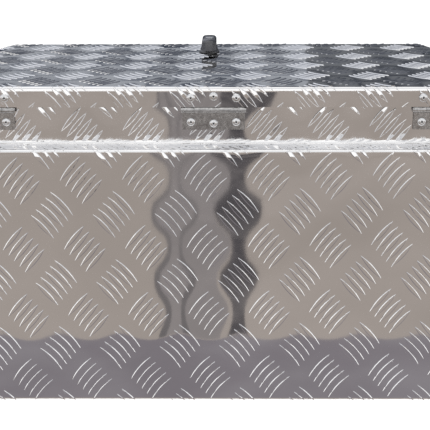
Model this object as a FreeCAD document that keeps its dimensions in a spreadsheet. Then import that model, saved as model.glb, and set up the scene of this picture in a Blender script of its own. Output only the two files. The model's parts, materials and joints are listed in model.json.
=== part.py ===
"""Aluminium tread-plate tool box for a drawbar: a tapered chest with a hinged lid.

Frame: +Z up, origin under the middle of the box, hinge side towards -Y, latch side towards +Y.
All sizes are in millimetres.
"""
import FreeCAD, Part
import math
import os
import re

import Sketcher

SIZES = {
    # the lid, a shallow folded tray
    "lid_top": 307.4,
    "lid_depth": 301.0,
    "lid_rear_half": 320.0,
    "lid_front_half": 242.0,
    "flange_height": 19.9,
    # tread plate, measured over its raised bars, and its folds
    "sheet_over": 2.3,
    "bend_radius": 3.0,
    # the body
    "ledge_depth": 28.0,
    "ledge_height": 253.0,
    "wall_gap": 3.0,
    "gutter_width": 8.0,
    "gutter_rise": 2.5,
    "land_height": 296.4,
    "land_width": 14.0,
    "seal_width": 8.0,
    "seal_gap": 0.3,
    # hinges
    "hinge_spacing": 216.0,
    "hinge_length": 58.5,
    "lower_leaf_reach": 18.9,
    "upper_leaf_reach": 16.9,
    "leaf_thickness": 1.2,
    "neck_gap": 0.4,
    "knuckle_radius": 2.5,
    "knuckle_gap": 0.3,
    "pin_radius": 1.3,
    "pin_clearance": 0.05,
    "end_knuckle": 11.0,
    "second_knuckle": 14.0,
    # blind rivets
    "rivet_spacing": 21.2,
    "rivet_rise": 11.6,
    "middle_rivet_rise": 13.0,
    "rivet_head_radius": 4.0,
    "rivet_crown_radius": 2.4,
    "rivet_head_height": 1.6,
    "rivet_shank_radius": 2.0,
    "rivet_tail_radius": 2.6,
    "rivet_tail_length": 2.5,
    "rivet_clearance": 0.05,
    # turn handle, its housing and cam
    "latch_offset": -7.0,
    "latch_inset": 77.0,
    "gasket_thickness": 0.8,
    "collar_radius": 11.3,
    "collar_crown_radius": 9.8,
    "collar_height": 2.4,
    "barrel_radius": 8.0,
    "barrel_length": 16.0,
    "nut_radius": 13.0,
    "nut_height": 4.0,
    "spindle_radius": 4.0,
    "turn_clearance": 0.05,
    "handle_gap": 0.3,
    "hub_radius": 7.8,
    "hub_height": 0.6,
    "bar_length": 52.0,
    "bar_width": 16.0,
    "bar_height": 13.0,
    "bar_corner": 3.5,
    "lock_radius": 5.0,
    "lock_depth": 6.0,
    "key_slot_length": 6.0,
    "key_slot_width": 1.2,
    "key_slot_depth": 2.0,
    "cam_reach": 62.0,
    "cam_width": 16.0,
    "cam_thickness": 3.0,
    "cam_clearance": 1.0,
    "cam_nut_radius": 7.0,
    "cam_nut_height": 5.0,
    # strike on the front wall
    "strike_width": 60.0,
    "strike_sheet": 2.5,
    "strike_top": 285.0,
    "strike_height": 28.0,
    "strike_reach": 25.0,
    "strike_rivet_spacing": 20.0,
    "strike_rivet_drop": 16.0,
    # lid stiffeners
    "stiffener_length": 400.0,
    "stiffener_depth": 12.0,
    "stiffener_flange": 20.0,
    "stiffener_sheet": 1.5,
    "rear_stiffener_reach": 112.0,
    "front_stiffener_reach": 170.0,
    # gas struts
    "strut_lid_reach": 70.0,
    "strut_lid_rise": 5.0,
    "strut_base_reach": 190.0,
    "strut_base_drop": 120.0,
    "tube_radius": 9.0,
    "tube_wall": 1.0,
    "tube_start": 14.0,
    "tube_floor": 5.0,
    "tube_end_margin": 33.0,
    "gland_length": 7.0,
    "rod_radius": 4.0,
    "rod_clearance": 0.05,
    "piston_clearance": 0.1,
    "piston_length": 8.0,
    "piston_start": 25.0,
    "eye_radius": 7.0,
    "eye_width": 9.0,
    "eye_overlap": 1.5,
    "neck_radius": 5.0,
    "stud_radius": 4.0,
    "stud_clearance": 0.05,
    "stud_cap": 2.0,
    "stud_cap_radius": 5.5,
    "stud_reach": 10.8,
    "open_pivot_gap": 0.4,
    "bracket_sheet": 2.5,
    "bracket_height": 30.0,
    "bracket_foot": 25.0,
    "bracket_run": 20.0,
    "bracket_tail": 12.0,
    "lid_bracket_width": 24.0,
    "lid_bracket_foot": 20.0,
    "lid_bracket_drop": 9.0,
}

doc = FreeCAD.newDocument("drawbar_tool_box")
sheet = doc.addObject("Spreadsheet::Sheet", "dims")
for row, (word, value) in enumerate(SIZES.items(), start=1):
    sheet.set(f"A{row}", word)
    sheet.set(f"B{row}", str(value))
    sheet.setAlias(f"B{row}", word)
doc.recompute()

WORDS = re.compile(r"\b(" + "|".join(sorted(SIZES, key=len, reverse=True)) + r")\b")


# ---------------------------------------------------------------- places worked out from the sizes

TAPER = "((lid_rear_half - lid_front_half) / lid_depth)"
SLANT = f"sqrt(1 + {TAPER} ^ 2)"
BACK = "(-(lid_depth + ledge_depth - sheet_over - leaf_thickness - neck_gap) / 2)"
NECK = f"({BACK} + ledge_depth)"
LID_BACK = f"({NECK} - sheet_over - leaf_thickness - neck_gap)"
LID_FRONT = f"({LID_BACK} + lid_depth)"
LID_UNDER = "(lid_top - sheet_over)"
FLANGE_FOOT = "(lid_top - flange_height)"
WALL_FRONT = f"({LID_FRONT} - sheet_over - wall_gap)"
PIN_Y = f"({NECK} - knuckle_radius - neck_gap)"
PIN_Z = f"({FLANGE_FOOT} - knuckle_radius - knuckle_gap)"
SHELF = f"({FLANGE_FOOT} + gutter_rise)"
LIP = f"({NECK} + gutter_width)"
REAR_LAND = f"({LIP} + land_width)"
FRONT_LAND = f"({WALL_FRONT} - land_width)"
WALL_OUTSIDE = "(sheet_over + wall_gap)"
WALL_INSIDE = "(2 * sheet_over + wall_gap)"
LATCH_Y = f"({LID_FRONT} - latch_inset)"
COLLAR_FOOT = "(lid_top + gasket_thickness)"
HUB_FOOT = f"({COLLAR_FOOT} + collar_height + handle_gap)"
BAR_FOOT = f"({HUB_FOOT} + hub_height)"
BAR_TOP = f"({BAR_FOOT} + bar_height)"
CAM_TOP = "(strike_top - strike_sheet - cam_clearance)"
STRUT_BASE_Y = f"({PIN_Y} + strut_base_reach)"
STRUT_BASE_Z = f"({PIN_Z} - strut_base_drop)"
STRUT_LID_Y = f"({PIN_Y} + strut_lid_reach)"
STRUT_LID_Z = f"({PIN_Z} + strut_lid_rise)"


def half_at(y, inset):
    """Half width of the tapered plan at a depth y, a distance inset inside the lid's outer face."""
    return f"(lid_rear_half - ({y} - {LID_BACK}) * {TAPER} - ({inset}) * {SLANT})"


BRACKET_BEND = f"({STRUT_BASE_Y} + bracket_run)"
BRACKET_FACE = half_at(BRACKET_BEND, WALL_INSIDE)
STRUT_X = f"({BRACKET_FACE} - bracket_sheet - stud_reach)"


# ---------------------------------------------------------------- helpers

def linked(text):
    """The expression with each named size pointed at its cell in the sheet."""
    return WORDS.sub(r"dims.\1", str(text))


def number(text):
    """The present value of an expression."""
    return float(sheet.evalExpression(linked(text)))


def bind(piece, values):
    """Bind properties of a piece to expressions."""
    for name, text in values.items():
        piece.setExpression(name, linked(text))


def place(piece, x, y, z):
    """Bind a primitive's position to expressions, leaving its turn as it is."""
    bind(piece, {"Placement.Base.x": x, "Placement.Base.y": y, "Placement.Base.z": z})


TURNS = {
    "+Z": FreeCAD.Rotation(),
    "-Z": FreeCAD.Rotation(FreeCAD.Vector(1, 0, 0), 180),
    "-Y": FreeCAD.Rotation(FreeCAD.Vector(1, 0, 0), 90),
    "+Y": FreeCAD.Rotation(FreeCAD.Vector(1, 0, 0), -90),
    "+X": FreeCAD.Rotation(FreeCAD.Vector(0, 1, 0), 90),
    "-X": FreeCAD.Rotation(FreeCAD.Vector(0, 1, 0), -90),
}


def cylinder(name, start, length, radius, towards="+Z"):
    """A round bar from the start point towards one of the frame's directions."""
    bar = doc.addObject("Part::Cylinder", name)
    bar.Placement.Rotation = TURNS[towards]
    place(bar, *start)
    bind(bar, {"Radius": radius, "Height": length})
    return bar


def cone(name, start, length, start_radius, end_radius, towards="+Z"):
    """A tapered round from the start point towards one of the frame's directions."""
    taper = doc.addObject("Part::Cone", name)
    taper.Placement.Rotation = TURNS[towards]
    place(taper, *start)
    bind(taper, {"Radius1": start_radius, "Radius2": end_radius, "Height": length})
    return taper


def block(name, low, spans):
    """A box from its lowest corner, with its spans along X, Y and Z."""
    box = doc.addObject("Part::Box", name)
    place(box, *low)
    bind(box, {"Length": spans[0], "Width": spans[1], "Height": spans[2]})
    return box


def fused(name, pieces):
    """One solid from touching or overlapping pieces."""
    joined = doc.addObject("Part::MultiFuse", name)
    joined.Shapes = pieces
    joined.Refine = True
    return joined


def cut(name, base, tool):
    """The base with the tool's space taken out."""
    left = doc.addObject("Part::Cut", name)
    left.Base = base
    left.Tool = tool
    return left


def group(name, pieces):
    """Separate solids kept together in one node."""
    together = doc.addObject("Part::Compound", name)
    together.Links = pieces
    return together


nodes = []


def node(piece, label):
    """Name a finished sub-part and list it for export."""
    piece.Label = label
    nodes.append(piece)
    return piece


def new_body(label):
    """A PartDesign body whose label is its node's name."""
    return node(doc.addObject("PartDesign::Body", label), label)


def plane_of(body, role):
    """One of the body's own origin planes."""
    return next(item for item in body.Origin.OriginFeatures if item.Role == role)


def sketch_on(body, role, name, height=None):
    """An empty sketch on an origin plane, or at a height above it."""
    sketch = body.newObject("Sketcher::SketchObject", name)
    sketch.AttachmentSupport = [(plane_of(body, role), "")]
    sketch.MapMode = "FlatFace"
    if height is not None:
        bind(sketch, {"AttachmentOffset.Base.z": height})
    return sketch


def outline(sketch, corners):
    """A closed run of straight lines whose corners are bound to expressions."""
    first = sketch.GeometryCount
    points = [FreeCAD.Vector(number(x), number(y), 0) for x, y in corners]
    count = len(corners)
    for i in range(count):
        sketch.addGeometry(Part.LineSegment(points[i], points[(i + 1) % count]), False)
    for i in range(count):
        sketch.addConstraint(Sketcher.Constraint("Coincident", first + i, 2, first + (i + 1) % count, 1))
    for i, (x, y) in enumerate(corners):
        for kind, text in (("DistanceX", x), ("DistanceY", y)):
            index = sketch.addConstraint(Sketcher.Constraint(kind, -1, 1, first + i, 1, number(text)))
            sketch.setExpression(f"Constraints[{index}]", linked(text))


def circle(sketch, x, y, radius):
    """A circle whose centre and radius are bound to expressions."""
    centre = FreeCAD.Vector(number(x), number(y), 0)
    ring = Part.Circle(centre, FreeCAD.Vector(0, 0, 1), number(radius))
    item = sketch.addGeometry(ring, False)
    for kind, text in (("DistanceX", x), ("DistanceY", y)):
        index = sketch.addConstraint(Sketcher.Constraint(kind, -1, 1, item, 3, number(text)))
        sketch.setExpression(f"Constraints[{index}]", linked(text))
    index = sketch.addConstraint(Sketcher.Constraint("Radius", item, number(radius)))
    sketch.setExpression(f"Constraints[{index}]", linked(radius))


def pad(body, sketch, length, both_ways=False):
    """Thicken a sketch into the body."""
    feature = body.newObject("PartDesign::Pad", sketch.Name + "_pad")
    feature.Profile = sketch
    if both_ways:
        feature.SideType = "Symmetric"
    bind(feature, {"Length": length})
    sketch.Visibility = False
    doc.recompute()
    return feature


def pocket(body, sketch, length=None, reverse=False, both_ways=False):
    """Cut a sketch out of the body, against its plane's direction unless reversed."""
    before = body.Shape.Volume
    feature = body.newObject("PartDesign::Pocket", sketch.Name + "_pocket")
    feature.Profile = sketch
    feature.Reversed = reverse
    if both_ways:
        feature.SideType = "Symmetric"
    if length is None:
        feature.Type = "ThroughAll"
    else:
        bind(feature, {"Length": length})
    doc.recompute()
    if not body.Shape.Volume < before - 0.01:
        raise RuntimeError(f"{feature.Name} cut nothing")
    return feature


def round_edges(body, name, wanted, radius):
    """Fillet the edges that pass the test on their middle point and direction."""
    base = body.Tip
    picked = []
    for index, edge in enumerate(base.Shape.Edges, start=1):
        ends = [vertex.Point for vertex in edge.Vertexes]
        if len(ends) == 2 and wanted((ends[0] + ends[1]) / 2, (ends[1] - ends[0]).normalize()):
            picked.append(f"Edge{index}")
    feature = body.newObject("PartDesign::Fillet", name)
    feature.Base = (base, picked)
    bind(feature, {"Radius": radius})
    doc.recompute()
    return feature


def bend(body, name, corners, radius):
    """Round the folds of an extruded profile, given as (y, z) corners of its section."""
    spots = [(number(y), number(z)) for y, z in corners]

    def at_fold(middle, direction):
        along = abs(abs(direction.x) - 1) < 1e-6
        return along and any(abs(middle.y - y) + abs(middle.z - z) < 1e-4 for y, z in spots)

    return round_edges(body, name, at_fold, radius)


def trim_to_sides(body, name):
    """Cut a cross wall's ends back to the side walls' inner faces."""
    sketch = sketch_on(body, "XY_Plane", name)
    rear = f"({BACK} - ledge_depth)"
    front = f"({LID_FRONT} + ledge_depth)"
    beyond = "(2 * lid_rear_half)"
    for side in (1, -1):
        outline(sketch, [
            (f"{side} * {half_at(rear, WALL_INSIDE)}", rear),
            (f"{side} * {beyond}", rear),
            (f"{side} * {beyond}", front),
            (f"{side} * {half_at(front, WALL_INSIDE)}", front),
        ])
    pocket(body, sketch, both_ways=True)


def drill_y(body, name, spots, towards_front=False):
    """Rivet holes along Y from the middle plane outwards, at the given (x, z) spots."""
    sketch = sketch_on(body, "XZ_Plane", name)
    for x, z in spots:
        circle(sketch, x, z, "rivet_shank_radius + rivet_clearance")
    pocket(body, sketch, reverse=not towards_front)


def hinge_spots(sign):
    """Rivet spots above (+1) or below (-1) the hinge pin, as (x, z)."""
    spots = []
    for hinge in (-1, 0, 1):
        for place_in_hinge in (-1, 0, 1):
            rise = "rivet_rise" if place_in_hinge else "middle_rivet_rise"
            x = f"({hinge} * hinge_spacing + {place_in_hinge} * rivet_spacing)"
            spots.append((x, f"({PIN_Z} + {sign} * {rise})"))
    return spots


def strike_spots():
    """The strike's rivet spots, as (x, z)."""
    return [(f"(latch_offset + {side} * strike_rivet_spacing)", "(strike_top - strike_rivet_drop)")
            for side in (-1, 1)]


# ---------------------------------------------------------------- body shell

def rear_wall():
    """Lower face, ledge, neck, rain gutter and seal land, folded from one sheet."""
    body = new_body("rear_wall")
    section = sketch_on(body, "YZ_Plane", "rear_section")
    outside = [
        (BACK, "ledge_height"),
        (NECK, "ledge_height"),
        (NECK, SHELF),
        (LIP, SHELF),
        (LIP, "land_height"),
    ]
    inside = [(f"({y} + sheet_over)", f"({z} - sheet_over)") for y, z in outside]
    corners = [(BACK, "0")] + outside + [(REAR_LAND, "land_height")]
    corners += [(REAR_LAND, "land_height - sheet_over")] + inside[::-1] + [(f"({BACK} + sheet_over)", "0")]
    outline(section, corners)
    pad(body, section, "2 * (lid_rear_half + ledge_depth)", both_ways=True)
    bend(body, "rear_outer_bends", outside[0::2] + inside[1::2], "bend_radius")
    bend(body, "rear_inner_bends", outside[1::2] + inside[0::2], "bend_radius - sheet_over")
    trim_to_sides(body, "rear_ends")
    drill_y(body, "rear_rivet_holes", hinge_spots(-1))


def front_wall():
    """Latch-side wall with its seal land folded inwards."""
    body = new_body("front_wall")
    section = sketch_on(body, "YZ_Plane", "front_section")
    fold = (WALL_FRONT, "land_height")
    inner_fold = (f"({WALL_FRONT} - sheet_over)", "(land_height - sheet_over)")
    outline(section, [
        (WALL_FRONT, "0"),
        fold,
        (FRONT_LAND, "land_height"),
        (FRONT_LAND, "(land_height - sheet_over)"),
        inner_fold,
        (f"({WALL_FRONT} - sheet_over)", "0"),
    ])
    pad(body, section, "2 * (lid_rear_half + ledge_depth)", both_ways=True)
    bend(body, "front_outer_bend", [fold], "bend_radius")
    bend(body, "front_inner_bend", [inner_fold], "bend_radius - sheet_over")
    trim_to_sides(body, "front_ends")
    drill_y(body, "front_rivet_holes", strike_spots(), towards_front=True)


def side_strip(sketch, side, rear, front, outer, inner):
    """A strip of plan along one side wall, between two depths and two insets."""
    outline(sketch, [
        (f"{side} * {half_at(rear, outer)}", rear),
        (f"{side} * {half_at(front, outer)}", front),
        (f"{side} * {half_at(front, inner)}", front),
        (f"{side} * {half_at(rear, inner)}", rear),
    ])


def side_wall(word, side):
    """A side wall, cut away behind the neck, with its seal land."""
    body = new_body(f"{word}_side_wall")
    lower = sketch_on(body, "XY_Plane", f"{word}_lower_plan")
    side_strip(lower, side, BACK, WALL_FRONT, WALL_OUTSIDE, WALL_INSIDE)
    pad(body, lower, "ledge_height")
    upper = sketch_on(body, "XY_Plane", f"{word}_upper_plan", "ledge_height")
    side_strip(upper, side, NECK, WALL_FRONT, WALL_OUTSIDE, WALL_INSIDE)
    pad(body, upper, "land_height - ledge_height")
    land = sketch_on(body, "XY_Plane", f"{word}_land_plan", "land_height - sheet_over")
    side_strip(land, side, REAR_LAND, FRONT_LAND, WALL_INSIDE, f"{WALL_INSIDE} + land_width")
    pad(body, land, "sheet_over")


def plan_loop(sketch, rear, front, inset):
    """A closed tapered loop between two depths, an inset inside the lid's sides."""
    outline(sketch, [
        (f"-{half_at(rear, inset)}", rear),
        (half_at(rear, inset), rear),
        (half_at(front, inset), front),
        (f"-{half_at(front, inset)}", front),
    ])


def floor_panel():
    """The floor, set between the four walls."""
    body = new_body("floor_panel")
    plan = sketch_on(body, "XY_Plane", "floor_plan")
    plan_loop(plan, f"({BACK} + sheet_over)", f"({WALL_FRONT} - sheet_over)", WALL_INSIDE)
    pad(body, plan, "sheet_over")


def rim_seal():
    """Foam rubber strip on the four lands, just under the closed lid."""
    body = new_body("rim_seal")
    plan = sketch_on(body, "XY_Plane", "seal_plan", "land_height")
    margin = "(land_width - seal_width) / 2"
    for inset in (f"({margin})", f"({margin} + seal_width)"):
        plan_loop(plan, f"({LIP} + {inset})", f"({WALL_FRONT} - {inset})", f"{WALL_INSIDE} + {inset}")
    pad(body, plan, f"{LID_UNDER} - seal_gap - land_height")


# ---------------------------------------------------------------- lid

def lid_panel():
    """The lid: one sheet folded down on four sides."""
    body = new_body("lid_panel")
    plan = sketch_on(body, "XY_Plane", "lid_plan", FLANGE_FOOT)
    plan_loop(plan, LID_BACK, LID_FRONT, "0")
    pad(body, plan, "flange_height")
    top = number("lid_top")
    round_edges(body, "lid_bends", lambda middle, direction: abs(middle.z - top) < 1e-4, "bend_radius")
    hollow = sketch_on(body, "XY_Plane", "lid_hollow", FLANGE_FOOT)
    plan_loop(hollow, f"({LID_BACK} + sheet_over)", f"({LID_FRONT} - sheet_over)", "sheet_over")
    pocket(body, hollow, "flange_height - sheet_over", reverse=True)
    drill_y(body, "lid_rivet_holes", hinge_spots(1))
    opening = sketch_on(body, "XY_Plane", "latch_hole")
    circle(opening, "latch_offset", LATCH_Y, "barrel_radius + rivet_clearance")
    pocket(body, opening, reverse=True)


def lid_stiffener(word):
    """An angle bonded under the lid from side to side."""
    body = new_body(f"{word}_lid_stiffener")
    section = sketch_on(body, "YZ_Plane", f"{word}_stiffener_section")
    y = f"({PIN_Y} + {word}_stiffener_reach)"
    outline(section, [
        (y, LID_UNDER),
        (f"({y} + stiffener_flange)", LID_UNDER),
        (f"({y} + stiffener_flange)", f"({LID_UNDER} - stiffener_sheet)"),
        (f"({y} + stiffener_sheet)", f"({LID_UNDER} - stiffener_sheet)"),
        (f"({y} + stiffener_sheet)", f"({LID_UNDER} - stiffener_depth)"),
        (y, f"({LID_UNDER} - stiffener_depth)"),
    ])
    pad(body, section, "stiffener_length", both_ways=True)


# ---------------------------------------------------------------- hinges

def knuckle_spans(upper):
    """The start and length of each knuckle that belongs to the upper or the lower leaf."""
    lengths = ["end_knuckle", "second_knuckle", "(hinge_length - 2 * (end_knuckle + second_knuckle))",
               "second_knuckle", "end_knuckle"]
    spans = []
    start = "-hinge_length / 2"
    for index, length in enumerate(lengths):
        if (index % 2 == 1) == upper:
            spans.append((start, length))
        start = f"{start} + {length}"
    return spans


def hinge_leaf(word, hinge, upper):
    """One leaf with its knuckles: the lower one on the neck, the upper one inside the lid's flange."""
    name = f"{word}_{'upper' if upper else 'lower'}_leaf"
    middle = f"({hinge} * hinge_spacing)"
    plate_y = f"({LID_BACK} + sheet_over)" if upper else f"({NECK} - leaf_thickness)"
    clear = "(knuckle_radius + knuckle_gap)"
    reach = "upper_leaf_reach" if upper else "lower_leaf_reach"
    height = f"{reach} - {clear}"
    low = f"{PIN_Z} + {clear}" if upper else f"{PIN_Z} - {reach}"
    plate_low = (f"{middle} - hinge_length / 2", plate_y, low)
    pieces = [block(f"{name}_plate", plate_low, ("hinge_length", "leaf_thickness", height))]
    for index, (start, length) in enumerate(knuckle_spans(upper)):
        play = "knuckle_gap / 2"
        x = f"{middle} + {start} + {play}"
        span = f"{length} - 2 * {play}"
        tab_low = PIN_Z if upper else f"{PIN_Z} - {clear}"
        pieces.append(block(f"{name}_tab{index}", (x, plate_y, tab_low), (span, "leaf_thickness", clear)))
        pieces.append(cylinder(f"{name}_knuckle{index}", (x, PIN_Y, PIN_Z), span, "knuckle_radius", "+X"))
    bore_start = (f"{middle} - hinge_length", PIN_Y, PIN_Z)
    tools = [cylinder(f"{name}_bore", bore_start, "2 * hinge_length", "pin_radius + pin_clearance", "+X")]
    for index, (x, z) in enumerate(hinge_spots(1 if upper else -1)[3 * (hinge + 1):3 * (hinge + 2)]):
        start = (x, f"{NECK} + leaf_thickness", z)
        hole = "rivet_shank_radius + rivet_clearance"
        tools.append(cylinder(f"{name}_hole{index}", start, "3 * leaf_thickness", hole, "-Y"))
    solid = fused(f"{name}_solid", pieces)
    holes = fused(f"{name}_holes", tools)
    node(cut(name, solid, holes), name)


def hinge_pin(word, hinge):
    """The pin through the five knuckles, headed at both ends."""
    start = f"{hinge} * hinge_spacing - hinge_length / 2"
    shank = cylinder(f"{word}_pin_shank", (start, PIN_Y, PIN_Z), "hinge_length", "pin_radius", "+X")
    cap_radius = "knuckle_radius - knuckle_gap"
    pieces = [shank]
    pieces.append(cylinder(f"{word}_pin_left_cap", (start, PIN_Y, PIN_Z), "leaf_thickness", cap_radius, "-X"))
    right = (f"{start} + hinge_length", PIN_Y, PIN_Z)
    pieces.append(cylinder(f"{word}_pin_right_cap", right, "leaf_thickness", cap_radius, "+X"))
    node(fused(f"{word}_hinge_pin", pieces), f"{word}_hinge_pin")


def rivet(name, x, face_y, z, grip, outwards="-Y"):
    """A blind rivet whose domed head stands on an outer face and whose tail is behind the grip."""
    sign = -1 if outwards == "-Y" else 1
    inwards = "+Y" if outwards == "-Y" else "-Y"
    face = (x, face_y, z)
    tail = (x, f"{face_y} - {sign} * {grip}", z)
    head_radii = ("rivet_head_radius", "rivet_crown_radius")
    return fused(name, [
        cone(f"{name}_head", face, "rivet_head_height", *head_radii, outwards),
        cylinder(f"{name}_shank", face, grip, "rivet_shank_radius", inwards),
        cylinder(f"{name}_tail", tail, "rivet_tail_length", "rivet_tail_radius", inwards),
    ])


def rivet_group(label, spots, face_y, grip, outwards="-Y"):
    """All the rivets of one fixing, as separate solids in one node."""
    rivets = [rivet(f"{label}{index}", x, face_y, z, grip, outwards) for index, (x, z) in enumerate(spots)]
    node(group(label, rivets), label)


# ---------------------------------------------------------------- latch

def round_bore(name, base, foot, length, radius):
    """The base with a round hole up the latch's axis."""
    tool = cylinder(f"{name}_bore", ("latch_offset", LATCH_Y, foot), length, radius)
    return cut(name, base, tool)


def hex_nut(label, foot, radius, height, bore):
    """A six-sided nut on the latch's axis."""
    prism = doc.addObject("Part::Prism", f"{label}_prism")
    place(prism, "latch_offset", LATCH_Y, foot)
    bind(prism, {"Circumradius": radius, "Height": height})
    node(round_bore(label, prism, f"{foot} - 1", f"{height} + 2", bore), label)


def latch_housing():
    """Round collar on the lid with a threaded barrel through it."""
    axis = ("latch_offset", LATCH_Y)
    collar = cone("collar", (*axis, COLLAR_FOOT), "collar_height", "collar_radius", "collar_crown_radius")
    barrel = cylinder("barrel", (*axis, COLLAR_FOOT), "barrel_length", "barrel_radius", "-Z")
    solid = fused("latch_housing_solid", [collar, barrel])
    foot = f"{COLLAR_FOOT} - barrel_length - 1"
    length = "barrel_length + collar_height + 2"
    node(round_bore("latch_housing", solid, foot, length, "spindle_radius + turn_clearance"), "latch_housing")


def latch_gasket():
    """Rubber ring between the collar and the lid."""
    ring = cylinder("gasket_disc", ("latch_offset", LATCH_Y, "lid_top"), "gasket_thickness", "collar_radius")
    bore = "barrel_radius + rivet_clearance"
    node(round_bore("latch_gasket", ring, "lid_top - 1", "gasket_thickness + 2", bore), "latch_gasket")


def turn_handle():
    """The handle: a hub and a rounded cross bar, bored for the lock and the spindle."""
    body = doc.addObject("PartDesign::Body", "handle_bar")
    plan = sketch_on(body, "XY_Plane", "bar_plan", BAR_FOOT)
    outline(plan, [
        (f"latch_offset + {i} * bar_width / 2", f"{LATCH_Y} + {j} * bar_length / 2")
        for i, j in ((-1, -1), (1, -1), (1, 1), (-1, 1))
    ])
    pad(body, plan, "bar_height")
    foot = number(BAR_FOOT)
    round_edges(body, "bar_corners", lambda middle, way: middle.z > foot + 1e-4, "bar_corner")
    axis = ("latch_offset", LATCH_Y)
    hub = cylinder("hub", (*axis, HUB_FOOT), "hub_height + bar_corner", "hub_radius")
    solid = fused("handle_solid", [body, hub])
    socket = cylinder("spindle_socket", (*axis, f"{HUB_FOOT} - 1"), f"{BAR_TOP} - {HUB_FOOT}", "spindle_radius")
    lock_well = ("latch_offset", LATCH_Y, f"{BAR_TOP} - lock_depth")
    well = cylinder("lock_well", lock_well, "lock_depth + 1", "lock_radius + turn_clearance")
    bores = fused("handle_bores", [socket, well])
    node(cut("turn_handle", solid, bores), "turn_handle")


def lock_cylinder():
    """The key plug in the top of the handle, with its key slot."""
    foot = f"{BAR_TOP} - lock_depth + handle_gap"
    plug = cylinder("lock_plug", ("latch_offset", LATCH_Y, foot), "lock_depth - handle_gap", "lock_radius")
    slot_low = ("latch_offset - key_slot_width / 2", f"{LATCH_Y} - key_slot_length / 2",
                f"{BAR_TOP} - key_slot_depth")
    slot = block("key_slot", slot_low, ("key_slot_width", "key_slot_length", "key_slot_depth + 1"))
    node(cut("lock_cylinder", plug, slot), "lock_cylinder")


def latch_spindle():
    """The shaft from the handle down to the cam."""
    foot = f"{CAM_TOP} - cam_thickness - cam_nut_height"
    top = f"{BAR_TOP} - lock_depth - handle_gap"
    shaft = cylinder("latch_spindle", ("latch_offset", LATCH_Y, foot), f"{top} - ({foot})", "spindle_radius")
    node(shaft, "latch_spindle")


def latch_cam():
    """The cam: a flat tongue that points sideways when the lid is free."""
    low = ("latch_offset", f"{LATCH_Y} - cam_width / 2", f"{CAM_TOP} - cam_thickness")
    tongue = block("cam_tongue", low, ("cam_reach", "cam_width", "cam_thickness"))
    boss = cylinder("cam_boss", ("latch_offset", LATCH_Y, low[2]), "cam_thickness", "cam_width / 2")
    solid = fused("cam_solid", [tongue, boss])
    node(round_bore("latch_cam", solid, f"{low[2]} - 1", "cam_thickness + 2", "spindle_radius"), "latch_cam")


def strike():
    """The angle on the front wall that the cam turns under."""
    body = new_body("strike")
    section = sketch_on(body, "YZ_Plane", "strike_section")
    wall = f"({WALL_FRONT} - sheet_over)"
    outline(section, [
        (wall, "strike_top - strike_height"),
        (wall, "strike_top"),
        (f"{wall} - strike_reach", "strike_top"),
        (f"{wall} - strike_reach", "strike_top - strike_sheet"),
        (f"{wall} - strike_sheet", "strike_top - strike_sheet"),
        (f"{wall} - strike_sheet", "strike_top - strike_height"),
    ])
    pad(body, section, "strike_width", both_ways=True)
    bind(section, {"AttachmentOffset.Base.z": "latch_offset"})
    doc.recompute()
    drill_y(body, "strike_rivet_holes", strike_spots(), towards_front=True)


# ---------------------------------------------------------------- gas struts

def strut_frame(side):
    """Where a strut starts, its way at rest, its length at rest and its stroke."""
    base_y = number("strut_base_reach")
    base_z = -number("strut_base_drop")
    lid_y = number("strut_lid_reach")
    lid_z = number("strut_lid_rise")
    rest = FreeCAD.Vector(0, lid_y - base_y, lid_z - base_z)
    opened = FreeCAD.Vector(0, -lid_z - base_y, lid_y - base_z)
    start = FreeCAD.Vector(side * number(STRUT_X), number(STRUT_BASE_Y), number(STRUT_BASE_Z))
    return start, rest.normalize(), math.dist((lid_y, lid_z), (base_y, base_z)), opened.Length


def along_strut(side, name, offset, length, radius):
    """A round bar on the strut's own axis, an offset up from the lower eye."""
    start, way, rest_length, open_length = strut_frame(side)
    bar = doc.addObject("Part::Cylinder", name)
    turn = FreeCAD.Rotation(FreeCAD.Vector(0, 0, 1), way)
    bar.Placement = FreeCAD.Placement(start + way * number(offset), turn)
    bind(bar, {"Radius": radius, "Height": length})
    return bar


def eye(side, name, y, z):
    """A round eye across the strut, and the hole for its stud."""
    start = (f"{side} * {STRUT_X} - eye_width / 2", y, z)
    ring = cylinder(f"{name}_eye", start, "eye_width", "eye_radius", "+X")
    hole_start = (f"{side} * {STRUT_X} - eye_width", y, z)
    hole = cylinder(f"{name}_eye_hole", hole_start, "2 * eye_width", "stud_radius + stud_clearance", "+X")
    return ring, hole


def strut_tube(word, side):
    """The pressure tube with the lower eye."""
    name = f"{word}_strut_tube"
    start, way, rest_length, open_length = strut_frame(side)
    tube_length = f"{rest_length} - tube_end_margin - tube_start"
    ring, hole = eye(side, name, STRUT_BASE_Y, STRUT_BASE_Z)
    neck_length = "tube_start - eye_radius + 2 * eye_overlap"
    neck = along_strut(side, f"{name}_neck", "eye_radius - eye_overlap", neck_length, "neck_radius")
    outer = along_strut(side, f"{name}_outer", "tube_start", tube_length, "tube_radius")
    bore_length = f"{tube_length} - tube_floor + 1"
    bore = along_strut(side, f"{name}_bore", "tube_start + tube_floor", bore_length, "tube_radius - tube_wall")
    solid = fused(f"{name}_solid", [ring, neck, outer])
    node(cut(name, solid, fused(f"{name}_holes", [hole, bore])), name)


def strut_gland(word, side):
    """The guide ring that closes the tube round the rod."""
    name = f"{word}_strut_gland"
    start, way, rest_length, open_length = strut_frame(side)
    offset = f"{rest_length} - tube_end_margin - gland_length"
    ring = along_strut(side, f"{name}_ring", offset, "gland_length", "tube_radius - tube_wall")
    bore = along_strut(side, f"{name}_bore", f"{offset} - 1", "gland_length + 2", "rod_radius + rod_clearance")
    node(cut(name, ring, bore), name)


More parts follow.
